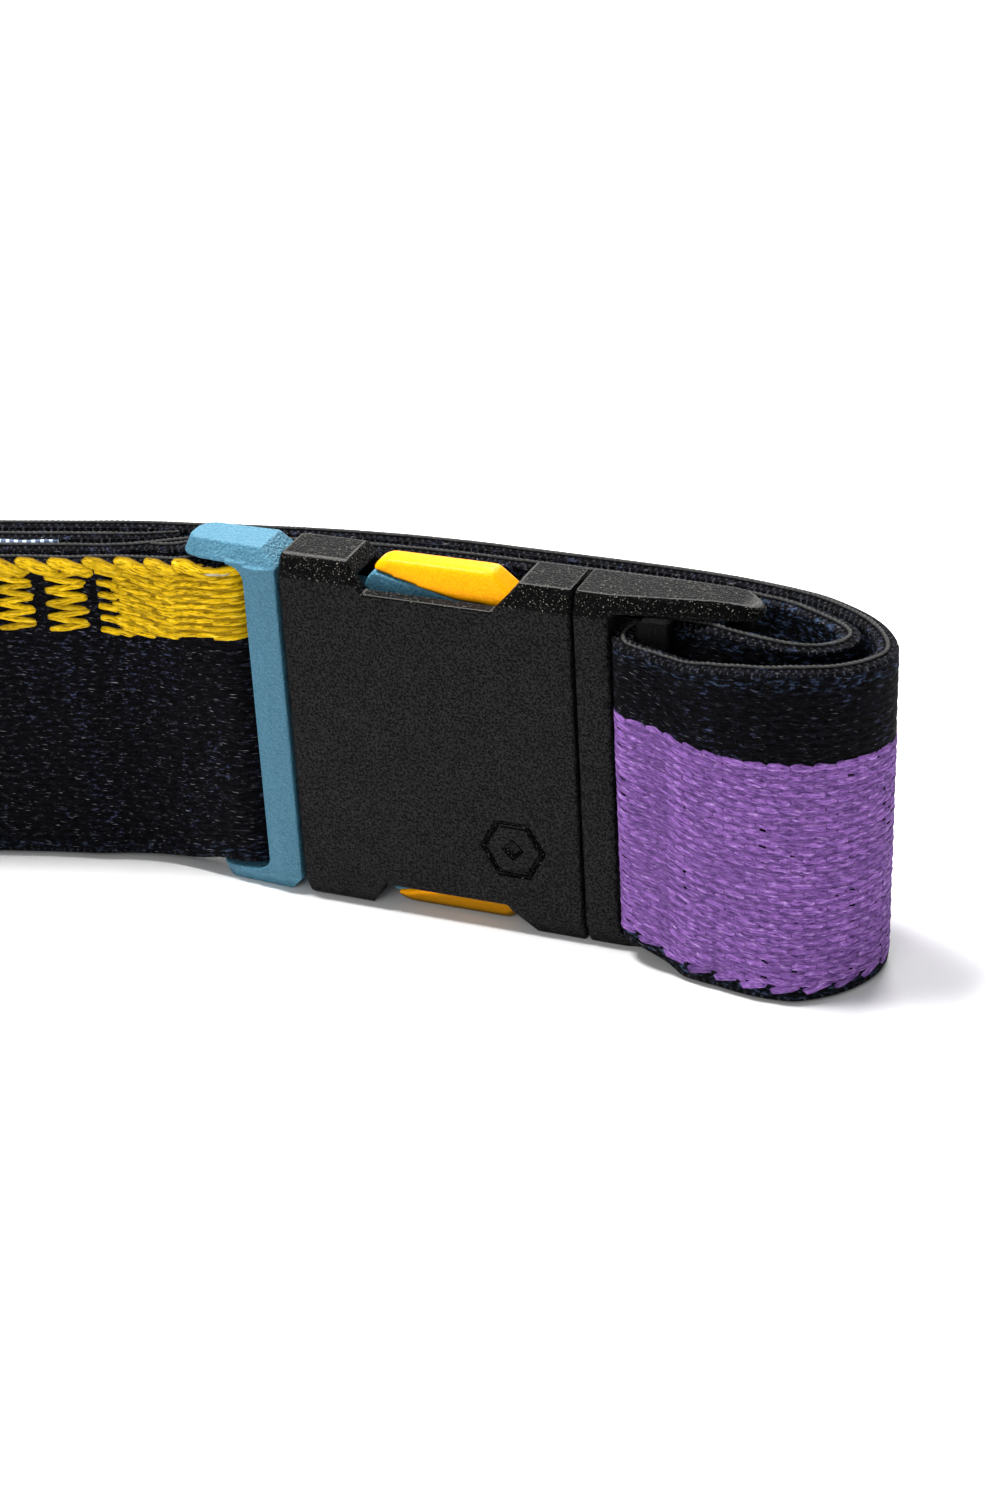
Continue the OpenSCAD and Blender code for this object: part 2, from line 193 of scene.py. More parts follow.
def webbing_material():
    """Dark woven ground: fine slanted flecks, grey crest cords, weft turns with a painted highlight on their
    peaks, and blue flecks.
    """
    m = Nodes("dark_webbing", Roughness=0.75, Specular_IOR_Level=0.04)
    weave = m.uv("weave")
    bent = m.add("Mapping")
    m.link(weave, bent.inputs["Vector"])
    bent.inputs["Rotation"].default_value = (0, 0, math.radians(-16))
    bent.inputs["Scale"].default_value = (0.95, 2.2, 1.0)
    flecks = m.noise(bent.outputs["Vector"], 1.0, 4.0, 0.7)
    fine = m.noise(m.scaled(weave, (0.95, 2.6, 1.0)), 1.0, 4.0, 0.75)
    clusters = m.noise(m.scaled(weave, (0.33, 0.06, 1.0)), 1.0, 2.0)
    tint = m.mix(m.ramp(fine, 0.46, 0.62), (0.0004, 0.0004, 0.0007), (0.0045, 0.0045, 0.0072))
    pale_flecks = m.math("MULTIPLY", m.ramp(flecks, 0.57, 0.67), m.attribute("linty"))
    tint = m.mix(pale_flecks, tint, (0.036, 0.037, 0.048))
    blue = m.math("MULTIPLY", m.ramp(flecks, 0.56, 0.66), m.ramp(clusters, 0.50, 0.62, 0.0, 1.0))
    tint = m.mix(blue, tint, (0.036, 0.044, 0.095))
    near_edge = m.math("MULTIPLY", m.attribute("flecked"), m.ramp(flecks, 0.52, 0.62))
    tint = m.mix(near_edge, tint, (0.060, 0.100, 0.190))
    lint = m.ramp(m.noise(m.scaled(bent.outputs["Vector"], (0.9, 2.6, 1.0)), 1.0, 1.0), 0.68, 0.73)
    tint = m.mix(m.math("MULTIPLY", lint, m.attribute("linty")), tint, (0.16, 0.16, 0.18))
    cord = m.math("MULTIPLY", m.attribute("cord"), m.ramp(fine, 0.35, 0.6, 0.6, 1.0))
    tint = m.mix(cord, tint, (0.14, 0.14, 0.135))
    # Painted highlight on the peaks of the weft turns
    turns = m.math("MULTIPLY", m.attribute("turns"), m.ramp(fine, 0.42, 0.55))
    tint = m.mix(turns, tint, (0.070, 0.073, 0.082))
    m.colour(tint)
    m.bump(fine, 0.0005)
    return m.material


def yarn_material(name, colour, dark, pale, grain=(0.9, 3.4)):
    """Spun, plied yarn: fine twisted fibres, darker in the twist, with a few pale ones that also stand in for
    the yarn's sheen. Lower yarns and the sides and ends of each get painted shade.
    """
    m = Nodes(name, Roughness=0.8, Specular_IOR_Level=0.12)
    yarn = m.uv("yarn")
    twist = m.add("Mapping")
    m.link(yarn, twist.inputs["Vector"])
    twist.inputs["Rotation"].default_value = (0, 0, math.radians(24))
    twist.inputs["Scale"].default_value = (*grain, 1.0)
    fibres = m.noise(twist.outputs["Vector"], 1.0, 4.0, 0.68)
    tint = m.mix(m.ramp(fibres, 0.34, 0.53), dark, colour)
    # A few pale fibres, which also stand in for the yarn's sheen as a painted highlight
    tint = m.mix(m.ramp(fibres, 0.56, 0.70, 0.0, 0.8), tint, pale)
    # Darker where the value is low: a random tint on the top floats and painted shade on the lower yarns
    tone_and_shade = m.attribute("tone_and_shade")
    tint = m.mix(m.ramp(tone_and_shade, 0.0, 0.8, 0.8, 0.0), tint, dark)
    # Painted shade where the yarn sinks between its neighbours
    tint = m.mix(m.math("MULTIPLY", m.attribute("valley_shade"), 0.95), tint, dark)
    m.colour(tint)
    m.bump(fibres, 0.0004)
    return m.material


# ---------------------------------------------------------------- strap route

# The strap's line in plan, from the sewn loop round the male bar to the folded hem. x runs
# from the buckle's seam and y from its front face, in millimetres, and the third value is
# the lift off the floor. u and v run along and across the bowed part.
BOW_START = 15
BOW_R = 120
BOW_ANGLE = math.radians(15.5)
COUNTER_START = 110
COUNTER_R = 160
BOW_END = BOW_START + BOW_R * BOW_ANGLE
COUNTER_END = COUNTER_START + COUNTER_R * BOW_ANGLE


def bow_line(s):
    """Point and heading of the bow's line, s to the left of the seam."""
    sin, cos = math.sin(BOW_ANGLE), math.cos(BOW_ANGLE)
    if s <= BOW_START:
        return -s, 0, 0
    if s <= BOW_END:
        a = (s - BOW_START) / BOW_R
        return -BOW_START - BOW_R * math.sin(a), -BOW_R * (1 - math.cos(a)), a
    if s <= COUNTER_START:
        x, y, _ = bow_line(BOW_END)
        return x - (s - BOW_END) * cos, y - (s - BOW_END) * sin, BOW_ANGLE
    if s <= COUNTER_END:
        x, y, _ = bow_line(COUNTER_START)
        a = BOW_ANGLE - (s - COUNTER_START) / COUNTER_R
        return x - COUNTER_R * (sin - math.sin(a)), y - COUNTER_R * (math.cos(a) - cos), a
    x, y, _ = bow_line(COUNTER_END)
    return x - (s - COUNTER_END), y, 0


def bundle(u, v, lift=0.0):
    """The route's point u along the bow (negative to the left of the seam) and v behind it."""
    x, y, a = bow_line(-u)
    return [x - v * math.sin(a), y + v * math.cos(a), lift]


def along(start, step, last):
    """start, start + step ... up to last."""
    return [start + step * k for k in range(int((last - start) / step + 1e-6) + 1)]


def arc(x, y, r, a0, a1, steps, lift):
    """Points of the route round x, y, from angle a0 to a1 in degrees."""
    turns = [math.radians(a0 + (a1 - a0) * k / steps) for k in range(steps + 1)]
    return [[x + r * math.cos(a), y + r * math.sin(a), lift] for a in turns]


def fold_points(u, v, r, step):
    """A half turn to the left round u, v in the bundle."""
    return [bundle(u + r * math.cos(a), v + r * math.sin(a))
            for a in map(math.radians, along(-90, step, -270))]


# How far behind the buckle's face each layer lies: the front run, the tail in the bundle and
# behind the buckle, the back run behind the buckle and further left
FRONT_V, TAIL_V, TAIL_BACK_V = 9.4, 12.9, 15.3
OUTER_V, OUTER_FAR_V = 18.1, 18.9
FOLD_U = -290
FOLD_V, FOLD_R = (OUTER_FAR_V + FRONT_V) / 2, (OUTER_FAR_V - FRONT_V) / 2
HEM_U, HEM_R = -84, 1.5
HEM_BACK_V = TAIL_V + 2 * HEM_R


def back_v(u):
    """How far back the back run lies; it steps out where it passes the tail's hem."""
    if u < -50:
        return OUTER_FAR_V
    if u < -42:
        return 18.3
    return OUTER_V


ROUTE = {
    "anchor_loop": [[-51.5, 6.1, 0.95], [-49, 6.1, 1.2], [-46.5, 6.3, 1.8], [-45, 6.6, 2.15],
                    [-43.6, 6.95, WEB_LIFT], *arc(-41.2, 4.6, 2.65, 90, -90, 4, WEB_LIFT),
                    [-43.6, 2.15, 2.15]],
    "front_run": [[-45.3, 2.4, 1.75], [-47, 2.7, 1.25], [-50, 3, 0.85], [-53, 2.95, 0.6], [-56.5, 2.4, 0.4],
                  [-60, 1.4, 0.3], bundle(-64, FRONT_V, 0.2), bundle(-76, FRONT_V, 0.2),
                  *[bundle(u, FRONT_V) for u in along(-88, -12, -124)]],
    "front_far_run": [bundle(u, FRONT_V) for u in along(-136, -12, -280)],
    "left_fold": [bundle(-284, FRONT_V - 0.2), *fold_points(FOLD_U, FOLD_V, FOLD_R, -30),
                  bundle(-284, OUTER_FAR_V)],
    "back_far_run": [bundle(u, OUTER_FAR_V) for u in along(-276, 12, -132)],
    "back_run": [bundle(u, back_v(u)) for u in along(-124, 8, -36)],
    "back_stretch": [bundle(u, OUTER_V) for u in along(-30, 6, -6)],
    "right_loop": [[0, 18.1, 0], [6, 18, 0], [12, 17.6, 0], [18.8, 16.5, 0], [22.6, 15.3, 0], [27.1, 12.6, 0],
                   [30, 9.5, 0], [31.4, 6.2, 0], [30.9, 3.3, 0], [29.3, 0.8, 0], [27.2, -1.1, 0],
                   [24.3, -2.5, 0.1], [20.5, -3.1, 0.3], [16, -2.8, 0.7], [13, -2.3, 1.3]],
    "bar_wrap": [[11, -1.75, 1.9], *arc(7.95, 1.25, 2.4, -90, -270, 4, WEB_LIFT)],
    "inner_loop": [[10.8, 3.55, WEB_LIFT], [13.4, 2.7, WEB_LIFT], [16, 1.8, WEB_LIFT], [19, 1.6, 1.9],
                   [22.3, 2.1, 1.3], [25.1, 3.5, 0.7], [27, 5.8, 0.3], [27.4, 8.1, 0.1], [26.3, 9.9, 0],
                   [24.1, 11.4, 0], [19.8, 13.5, 0], [16, 14.4, 0], [11, 15, 0], [5, 15.3, 0]],
    "tail_stretch": [bundle(u, TAIL_BACK_V) for u in along(0, -6, -24)],
    "tail_run": [*[bundle(u, TAIL_BACK_V) for u in (-30, -37)], bundle(-43.5, 15.1), bundle(-47, 14.4),
                 bundle(-50.5, 13.4), bundle(-54, TAIL_V), *[bundle(u, TAIL_V) for u in (-60, -68, -76)]],
    "tail_hem": [bundle(-79, TAIL_V), *fold_points(HEM_U, TAIL_V + HEM_R, HEM_R, -45),
                 *[bundle(u, HEM_BACK_V) for u in along(-79, 7, -51)], bundle(-47, 16.4)],
}
DIP_FROM = 24  # height up the webbing from which the loop's dip grows towards the top edge
DROP_FROM = 14  # height from which its drop grows towards the foot


class Strap:
    """The route as a smooth line measured by length, in the row frame, in millimetres."""

    def __init__(self, samples=12):
        p = np.array([q for part in ROUTE.values() for q in part], float)
        ends = np.vstack([p[0], p, p[-1]])
        a, b, c, d = ends[:-3], ends[1:-2], ends[2:-1], ends[3:]
        t = np.linspace(0, 1, samples, endpoint=False)[None, :, None]
        a, b, c, d = (q[:, None, :] for q in (a, b, c, d))
        bend, twist = 2 * a - 5 * b + 4 * c - d, 3 * b - a - 3 * c + d
        line = 0.5 * (2 * b + (c - a) * t + bend * t**2 + twist * t**3)
        self.line = np.vstack([line.reshape(-1, 3), p[-1:]])
        self.line[:, 2] = np.maximum(self.line[:, 2], 0)
        self.line[:, 0] += SEAM_X
        self.line[:, 1] += FACE_Y
        heading = np.gradient(self.line[:, :2], axis=0)
        heading /= np.linalg.norm(heading, axis=1)[:, None]
        self.side = np.stack([-heading[:, 1], heading[:, 0]], axis=1)
        steps = np.linalg.norm(np.diff(self.line[:, :2], axis=0), axis=1)
        self.s = np.concatenate([[0], np.cumsum(steps)])
        counts = np.cumsum([0] + [len(part) for part in ROUTE.values()])
        knots = self.s[::samples]
        self.span = {}
        for k, name in enumerate(ROUTE):
            last = min(counts[k + 1], len(p) - 1)
            self.span[name] = (float(knots[counts[k]]), float(knots[last]))
        # The right loop hangs unevenly. Each pair is lengths along the strap and sizes there: how far the
        # loop leans in at its top and out at its foot, how far its top edge dips, how far its foot drops.
        start, end = self.span["right_loop"]
        lean_at = [start + 20, start + 37, start + 43, start + 48, end - 6, end + 7]
        self.lean = lean_at, [0, -0.5, 0.3, 1, 0.1, 0]
        dip_at = np.array([-28, -16, -12, -8.5, -5, -2.5, 0, 3.6, 8, 18])
        self.dip = end + dip_at, [0, -0.6, -0.4, -0.2, 0.4, 1.3, 2.0, 2.1, 1.6, 0]
        drop_at = np.array([-22, -14, -10, -6, -2, 1, 4.5])
        self.drop = end + drop_at, [0, 0.5, 0.9, 1.2, 1.3, 0.7, 0]
        # The webbing's cut end is pressed to half its thickness
        hem_end = self.span["tail_hem"][1]
        self.thin = [hem_end - 8, hem_end], [1, 0.5]

    def place(self, s, w, n):
        """Row-frame points, in metres, at length s, height w up the webbing and n out from its middle."""
        x, y, z = (np.interp(s, self.s, self.line[:, k]) for k in range(3))
        sx, sy = (np.interp(s, self.s, self.side[:, k]) for k in range(2))
        n = n * np.interp(s, *self.thin) + np.interp(s, *self.lean) * (1 - 2 * w / WEB_W)
        high = np.clip((w - DIP_FROM) / (WEB_W - DIP_FROM), 0, 1)
        low = np.clip((DROP_FROM - w) / DROP_FROM, 0, 1)
        drop = np.minimum(np.interp(s, *self.drop), z)
        z = z + w - np.interp(s, *self.dip) * high**2 - drop * low**2
        return np.stack([x + sx * n, y + sy * n, z], axis=-1) * MM

    def s_at_x(self, name, x):
        """Length at which a piece passes x, measured from the buckle's seam."""
        s0, s1 = self.span[name]
        s = np.linspace(s0, s1, 2000)
        found = np.interp(s, self.s, self.line[:, 0]) - SEAM_X
        return float(s[np.argmin(abs(found - x))])


strap = Strap()


# ---------------------------------------------------------------- mesh helpers


def mesh_object(name, points, quads, caps, material, sharp=None):
    """A mesh of points with four-sided faces, and caps that are lists of as many points as they need."""
    mesh = bpy.data.meshes.new(name)
    corners = np.concatenate([np.ravel(quads), *[np.ravel(cap) for cap in caps]]).astype(np.int32)
    sizes = np.concatenate([np.full(len(quads), 4), *[[len(cap)] for cap in caps]]).astype(np.int32)
    mesh.vertices.add(len(points))
    mesh.vertices.foreach_set("co", points.astype(np.float32).ravel())
    mesh.loops.add(len(corners))
    mesh.loops.foreach_set("vertex_index", corners)
    mesh.polygons.add(len(sizes))
    mesh.polygons.foreach_set("loop_start", (np.cumsum(sizes) - sizes).astype(np.int32))
    mesh.polygons.foreach_set("use_smooth", [True] * len(sizes))
    mesh.update(calc_edges=True)
    if sharp:
        mesh.set_sharp_from_angle(angle=math.radians(sharp))
    mesh.materials.append(material)
    piece = bpy.data.objects.new(name, mesh)
    bpy.context.scene.collection.objects.link(piece)
    return piece


def tube_faces(rings, around):
    """Quads of a tube of rings, each with as many points as around says."""
    r = np.arange(rings - 1)[:, None]
    c = np.arange(around)[None, :]
    a = r * around + c
    b = r * around + (c + 1) % around
    return np.stack([a, b, b + around, a + around], axis=-1).reshape(-1, 4)


def add_uv(piece, name, uv):
    layer = piece.data.uv_layers.new(name=name)
    loops = np.zeros(len(piece.data.loops), int)
    piece.data.loops.foreach_get("vertex_index", loops)
    layer.data.foreach_set("uv", uv[loops].astype(np.float32).ravel())


def add_values(piece, name, values):
    attribute = piece.data.attributes.new(name, "FLOAT", "POINT")
    attribute.data.foreach_set("value", np.asarray(values, np.float32).ravel())


# ---------------------------------------------------------------- woven ground

ROW = 0.85  # height of one row of the ground weave
FLOAT = 1.9  # length of one float of the ground weave
RELIEF = 0.16  # how far the rows stand out
INSET = 0.45  # how far the ground's faces end below the webbing's edges, under the selvages


def weave_relief(s, w):
    """Height of the ground weave, 0 to 1: rows of short floats, each row shifted half a float."""
    row = np.floor(w / ROW)
    profile = np.sqrt(np.maximum(0, 1 - (2 * (w / ROW - row) - 1) ** 2))
    shift = 0.5 * (row % 2) + 0.13 * np.sin(row * 2.7)
    phase = (s / FLOAT + shift) % 1 - 0.5
    return profile * (1 - 0.7 * np.exp(-((phase / 0.16) ** 2)))


def webbing(name, step, face_step, back_step):
    """The ground of one piece of the webbing, with a woven relief; its edges lie under the selvages."""
    s0, s1 = strap.span[name]
    s = np.linspace(s0, s1, max(3, int((s1 - s0) / step)))[:, None]
    up = np.linspace(INSET, WEB_W - INSET, int(WEB_W / face_step))
    down = np.linspace(WEB_W - INSET, INSET, int(WEB_W / back_step))
    # The two faces are joined by a low ridge under each selvage
    edge_n = np.array([0.9, 0.5, 0, -0.5, -0.9])
    edge_w = np.array([0.3, 0.2, 0.15, 0.2, 0.3])
    n = np.concatenate([np.full(len(up), CORE), edge_n, np.full(len(down), -CORE), -edge_n])
    w = np.concatenate([up, WEB_W - edge_w - 0.15, down, edge_w + 0.15])
    s_all, n_all, w_all = np.broadcast_arrays(s, n[None, :], w[None, :])
    inner = np.clip((np.minimum(w_all, WEB_W - w_all) - INSET) / 0.3, 0, 1) * (abs(n_all) >= CORE)
    relief = weave_relief(s_all, w_all + 40 * (n_all < 0)) * RELIEF * inner
    points = strap.place(s_all, w_all, n_all + np.sign(n_all) * relief).reshape(-1, 3)
    around = len(n)
    last = (len(s) - 1) * around
    quads = tube_faces(len(s), around)
    caps = [np.arange(around)[::-1], last + np.arange(around)]
    piece = mesh_object("web_" + name, points, quads, caps, dark_webbing, sharp=70)
    add_uv(piece, "weave", np.stack([s_all, w_all + 60 * (n_all < 0)], axis=-1).reshape(-1, 2))
    # Blue flecks gather in a line along both edges, and all over the inside of the inner loop
    below_edge = np.exp(-(((WEB_W - w_all - 1.5) / 0.6) ** 2)) + np.exp(-(((w_all - 1.5) / 0.6) ** 2))
    if name == "front_run":
        below_edge = 0.35 * below_edge
    inside = 0.55 * (n_all > 0) if name == "inner_loop" else 0
    add_values(piece, "flecked", np.clip(0.5 * below_edge + inside, 0, 1))
    lint = 0.4 if name in ("right_loop", "inner_loop") else 0.85
    add_values(piece, "linty", np.full(n_all.shape, lint))
    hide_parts(name)
    return piece


# Half profile over a long edge of the webbing, from a face to the crest: out from the middle,
# in from the edge, then how much of the point is grey crest cord and how much is weft turn.
EDGE = np.array([
    (1.05, 1.05, 0.0, 0.0), (1.07, 0.88, 0.0, 0.5), (1.03, 0.70, 0.0, 1.0), (0.93, 0.54, 0.0, 1.0),
    (0.78, 0.46, 0.0, 0.8), (0.62, 0.40, 0.0, 1.0), (0.46, 0.34, 0.0, 1.0), (0.31, 0.30, 0.0, 0.2),
    (0.23, 0.19, 0.0, 0.0), (0.17, 0.06, 0.7, 0.0), (0.06, 0.00, 1.0, 0.0),
])
TURN = 0.8  # spacing of the weft turns along an edge


def selvage(name, step, high):
    """One long edge of a piece of the webbing: a crest cord between slopes of small weft turns."""
    s0, s1 = strap.span[name]
    s = np.linspace(s0, s1, max(3, int((s1 - s0) / step)))[:, None]
    far = EDGE[::-1] * (-1, 1, 1, 1)
    under = np.array([(-0.8, 1.15, 0, 0), (0.8, 1.15, 0, 0)])
    ring = np.concatenate([EDGE, far, under])
    n, inset, cord, turns = (ring[None, :, k] for k in range(4))
    outer_row = abs(n) > 0.7
    phase = 2 * np.pi * s / TURN + np.where(outer_row, 0, 2.6) + np.where(n > 0, 0, 1.3)
    wander = 0.35 * np.sin(s * 2.1) + 0.3 * np.sin(s * 0.83 + 2)
    wave = np.cos(phase + wander)
    twist = np.cos(2 * np.pi * s / 0.62 + 8 * n + 0.4 * np.sin(s * 1.7))
    swell = 0.12 * wave * turns + 0.05 * twist * cord
    n_all = n * (1 + 0.9 * swell) + 0.035 * np.sin(s * 0.9) * cord
    w_in = inset - swell
    w_all = WEB_W - w_in if high else w_in
    s_all = np.broadcast_to(s, n_all.shape)
    points = strap.place(s_all, w_all, n_all).reshape(-1, 3)
    around = len(ring)
    last = (len(s) - 1) * around
    quads = tube_faces(len(s), around)
    caps = [np.arange(around)[::-1], last + np.arange(around)]
    if not high:
        quads = quads[:, ::-1]
        caps = [cap[::-1] for cap in caps]
    piece = mesh_object(f"selvage_{'top' if high else 'bottom'}_{name}", points, quads, caps, dark_webbing)
    shape = n_all.shape
    across = np.broadcast_to(np.cumsum(inset) * 0.3 + 3 * n, shape)
    add_uv(piece, "weave", np.stack([s_all, across], axis=-1).reshape(-1, 2))
    add_values(piece, "cord", cord * (0.75 + 0.25 * twist))
    # The turns' value peaks where each weft turn bulges out: a painted highlight on its top
    add_values(piece, "turns", np.clip(0.1 + 0.9 * wave, 0, 1) ** 2 * turns)
    add_values(piece, "flecked", np.broadcast_to(np.where(inset > 0.85, 0.5, 0.0), shape))
    return piece


# ---------------------------------------------------------------- pattern yarns


def floats(name, yarns, material, around=8, lengthwise=10):
    """Closed yarns lying on the webbing's face. Each is s0, w0, s1, w1, width, height, tone; a low last value
    darkens the yarn, as painted shade on the lower yarns.
    """
    y = np.array(yarns, float)[:, None, None, :]
    s0, w0, s1, w1, width, height, tone_and_shade = (y[..., k] for k in range(7))
    t = np.linspace(0, 1, lengthwise)[None, :, None]
    a = np.linspace(-math.pi, math.pi, around, endpoint=False)[None, None, :]
    length = np.hypot(s1 - s0, w1 - w0)
    taper = np.sqrt(np.maximum(0, 1 - abs(2 * t - 1) ** 3.2))
    half = 0.5 * width * (0.24 + 0.76 * taper)
    ply = 1 + 0.09 * np.cos(2 * a + 2 * math.pi * t * length / 2.2)
    sideways = half * np.sin(a) * ply
    s = s0 + (s1 - s0) * t - (w1 - w0) / length * sideways
    w = w0 + (w1 - w0) * t * t * (3 - 2 * t) + (s1 - s0) / length * sideways
    over = np.cos(a)
    rise = height * (taper - 0.25) * ply
    n = CORE + 0.02 + np.where(over > 0, rise * over, 0.25 * over)
    s, w, n = np.broadcast_arrays(s, w, n)
    points = strap.place(s, w, n).reshape(-1, 3)
    starts = (np.arange(len(yarns)) * lengthwise * around)[:, None, None]
    quads = (tube_faces(lengthwise, around)[None] + starts).reshape(-1, 4)
    ring = np.arange(around)
    caps = [*(starts[:, 0] + ring[::-1]), *(starts[:, 0] + (lengthwise - 1) * around + ring)]
    piece = mesh_object(name, points, quads, caps, material)
    along_yarn = np.broadcast_to(length * t + 3.7 * w0 + 1.3 * s0, s.shape)
    around_yarn = np.broadcast_to(half * a * 1.2 + 2.3 * w0, s.shape)
    add_uv(piece, "yarn", np.stack([along_yarn, around_yarn], axis=-1).reshape(-1, 2))
    add_values(piece, "tone_and_shade", np.broadcast_to(tone_and_shade, s.shape))
    # Painted shade on the yarn's sides and tapered ends, where it sinks between its neighbours
    valley_shade = np.clip(1.3 - 1.6 * np.maximum(over, 0), 0, 1) + 0.6 * (1 - taper)
    add_values(piece, "valley_shade", np.broadcast_to(np.clip(valley_shade, 0, 1), s.shape))
    return piece


def jitter(size):
    """A random offset of at most size either way."""
    return random.uniform(-size, size)


def twill(s0, s1, w0, w1, row, pitch, length, slant, height, width=1.25):
    """Rows of slanted floats over a block, alternate rows shifted half a pitch, with lower ones between.

    slant is how far w rises over one float, and width is a float's width in rows.
    """
    yarns = []
    rows = round((w1 - w0) / row)
    for j in range(rows):
        w = w0 + (j + 0.5) * (w1 - w0) / rows
        for s in np.arange(s0 - (j % 2) * pitch / 2, s1, pitch):
            a = max(s, s0 + jitter(0.12))
            b = min(s + length, s1 + jitter(0.12))
            if b - a > 0.35 * pitch:
                rise = 0.5 * slant * (b - a) / length
                start = max(w0 + 0.1, min(w1 - 0.1, w - rise + jitter(0.06)))
                end = max(w0 + 0.1, min(w1 - 0.1, w + rise + jitter(0.06)))
                yarns.append([a, start, b, end, row * width, height * (1 + jitter(0.15)),
                              random.uniform(0.45, 1)])
                # The lower floats between the rows are dark, as painted shade between the rows
                if j:
                    under = max(w0, start - row / 2)
                    yarns.append([max(a - pitch / 2, s0), under, min(b + pitch / 4, s1), under + end - start,
                                  row * width, 0.4 * height, random.uniform(0, 0.15)])
    return yarns


BED_LENGTH = 8  # length of one yarn of the bed
BED_LAP = 1.2  # how far each of them overlaps the next


def bed(s0, s1, w0, w1, row, height, tone_and_shade):
    """Low yarns lying end to end under a block, so that no webbing shows between its floats; they are
    darkened as painted shade between the floats.
    """
    lengths = max(1, round((s1 - s0) / BED_LENGTH))
    step = (s1 - s0) / lengths
    rows = round((w1 - w0) / row)
    yarns = []
    for j in range(rows):
        w = w0 + (j + 0.5) * row
        for k in range(lengths + j % 2):
            a = s0 + (k - 0.5 * (j % 2)) * step
            yarns.append([max(s0, a - BED_LAP), w, min(s1, a + step + BED_LAP), w, 1.9 * row, height,
                          tone_and_shade + jitter(0.08)])
    return yarns


TOOTH = 1.48  # height of one tooth of the yellow pattern
COLUMN = 6.0  # width of one column of teeth with its slit
SLIT = 0.9  # width of a slit


def zigzag(s0, columns, w0, w1, height):
    """Columns of thick floats that cross to and fro between teeth, with a slit left between columns."""
    yarns = []
    teeth = round((w1 - w0) / TOOTH)
    for k in range(columns):
        a = s0 + k * COLUMN + SLIT / 2
        b = a + COLUMN - SLIT
        for j in range(teeth):
            w = w0 + (j + 0.5) * (w1 - w0) / teeth
            for up in (-1, 1):
                if j == 0 and up < 0:
                    continue
                yarns.append([a + jitter(0.12), w + up * 0.45 * TOOTH,
                              b + jitter(0.12), w + up * 0.05 * TOOTH,
                              0.60 * TOOTH, height * (1 + jitter(0.12)), random.uniform(0.3, 1)])
    return yarns


def scallops(s0, s1, w_low, w_high, pitch, height, width):
    """A row of thick floats along an edge, each rising from w_low to w_high."""
    return [[s - 0.25 * pitch, w_low + jitter(0.1), s + 1.15 * pitch, w_high + jitter(0.08), width, height,
             random.uniform(0.4, 1)] for s in np.arange(s0, s1 - 0.6 * pitch, pitch)]


def toothed_block(s0, s1, w0, w1):
    """A closed block of yellow whose left end, at s1, is a row of thick teeth."""
    teeth = round((w1 - w0) / TOOTH)
    tips = [[s1 - 3.2 + jitter(0.3), w0 + (j + 0.30) * (w1 - w0) / teeth, s1 - SLIT / 2 + jitter(0.12),
             w0 + (j + 0.62) * (w1 - w0) / teeth, 0.66 * TOOTH, 0.52, random.uniform(0.4, 1)]
            for j in range(teeth)]
    # Towards the left the floats rise steeply next to the teeth, gently before that and fall further off
    row = 0.82
    middle = max(s0, s1 - 11)
    # A dark bed under the floats: painted shade between them
    yarns = bed(s0, s1 - 2.6, w0 + 0.3, w1 - 0.3, row=0.9, height=0.24, tone_and_shade=0.15)
    yarns += twill(middle, s1 - 2.2, w0, w1, row, pitch=3.2, length=4.9, slant=0.95, height=0.45, width=1.0)
    if middle > s0:
        between = middle - 3.5
        yarns += twill(between, middle + 2, w0, w1, row, pitch=3.2, length=4.9, slant=0.3, height=0.48,
                       width=0.92)
        yarns += twill(s0, between + 2, w0, w1, row, pitch=3.6, length=5.2, slant=-0.45, height=0.50,
                       width=0.90)
    return yarns + tips


# ---------------------------------------------------------------- materials

# The black plastic gets painted sparkle highlights on its upward slopes, painted shade on them and painted
# highlights on its top edges
black_plastic = plastic("black_plastic", (0.0190, 0.0186, 0.0190), (0.0022, 0.0021, 0.0022),
                        roughness=0.40, specular=0.035, sparkle_glint=(0.19, 0.18, 0.15))
# A darker copy of the black plastic for the bars inside the buckle: painted shade
shaded_bar_plastic = plastic("shaded_bar_plastic", (0.0050, 0.0050, 0.0052), (0.0022, 0.0022, 0.0023),
                      roughness=0.5, specular=0.05)
# The blue plastic's upright faces get painted shade
blue_plastic = plastic("blue_plastic", (0.080, 0.240, 0.335), (0.050, 0.170, 0.255),
                       roughness=0.5, specular=0.3, wall_shade=(0.022, 0.090, 0.140))
# The yellow's faces that point down get painted shade
yellow_plastic = plastic("yellow_plastic", (0.98, 0.40, 0.0004), (0.92, 0.34, 0.0003),
                         roughness=0.36, specular=0.08, grain=0.00006, under=(0.15, 0.075, 0.0002))
dark_webbing = webbing_material()
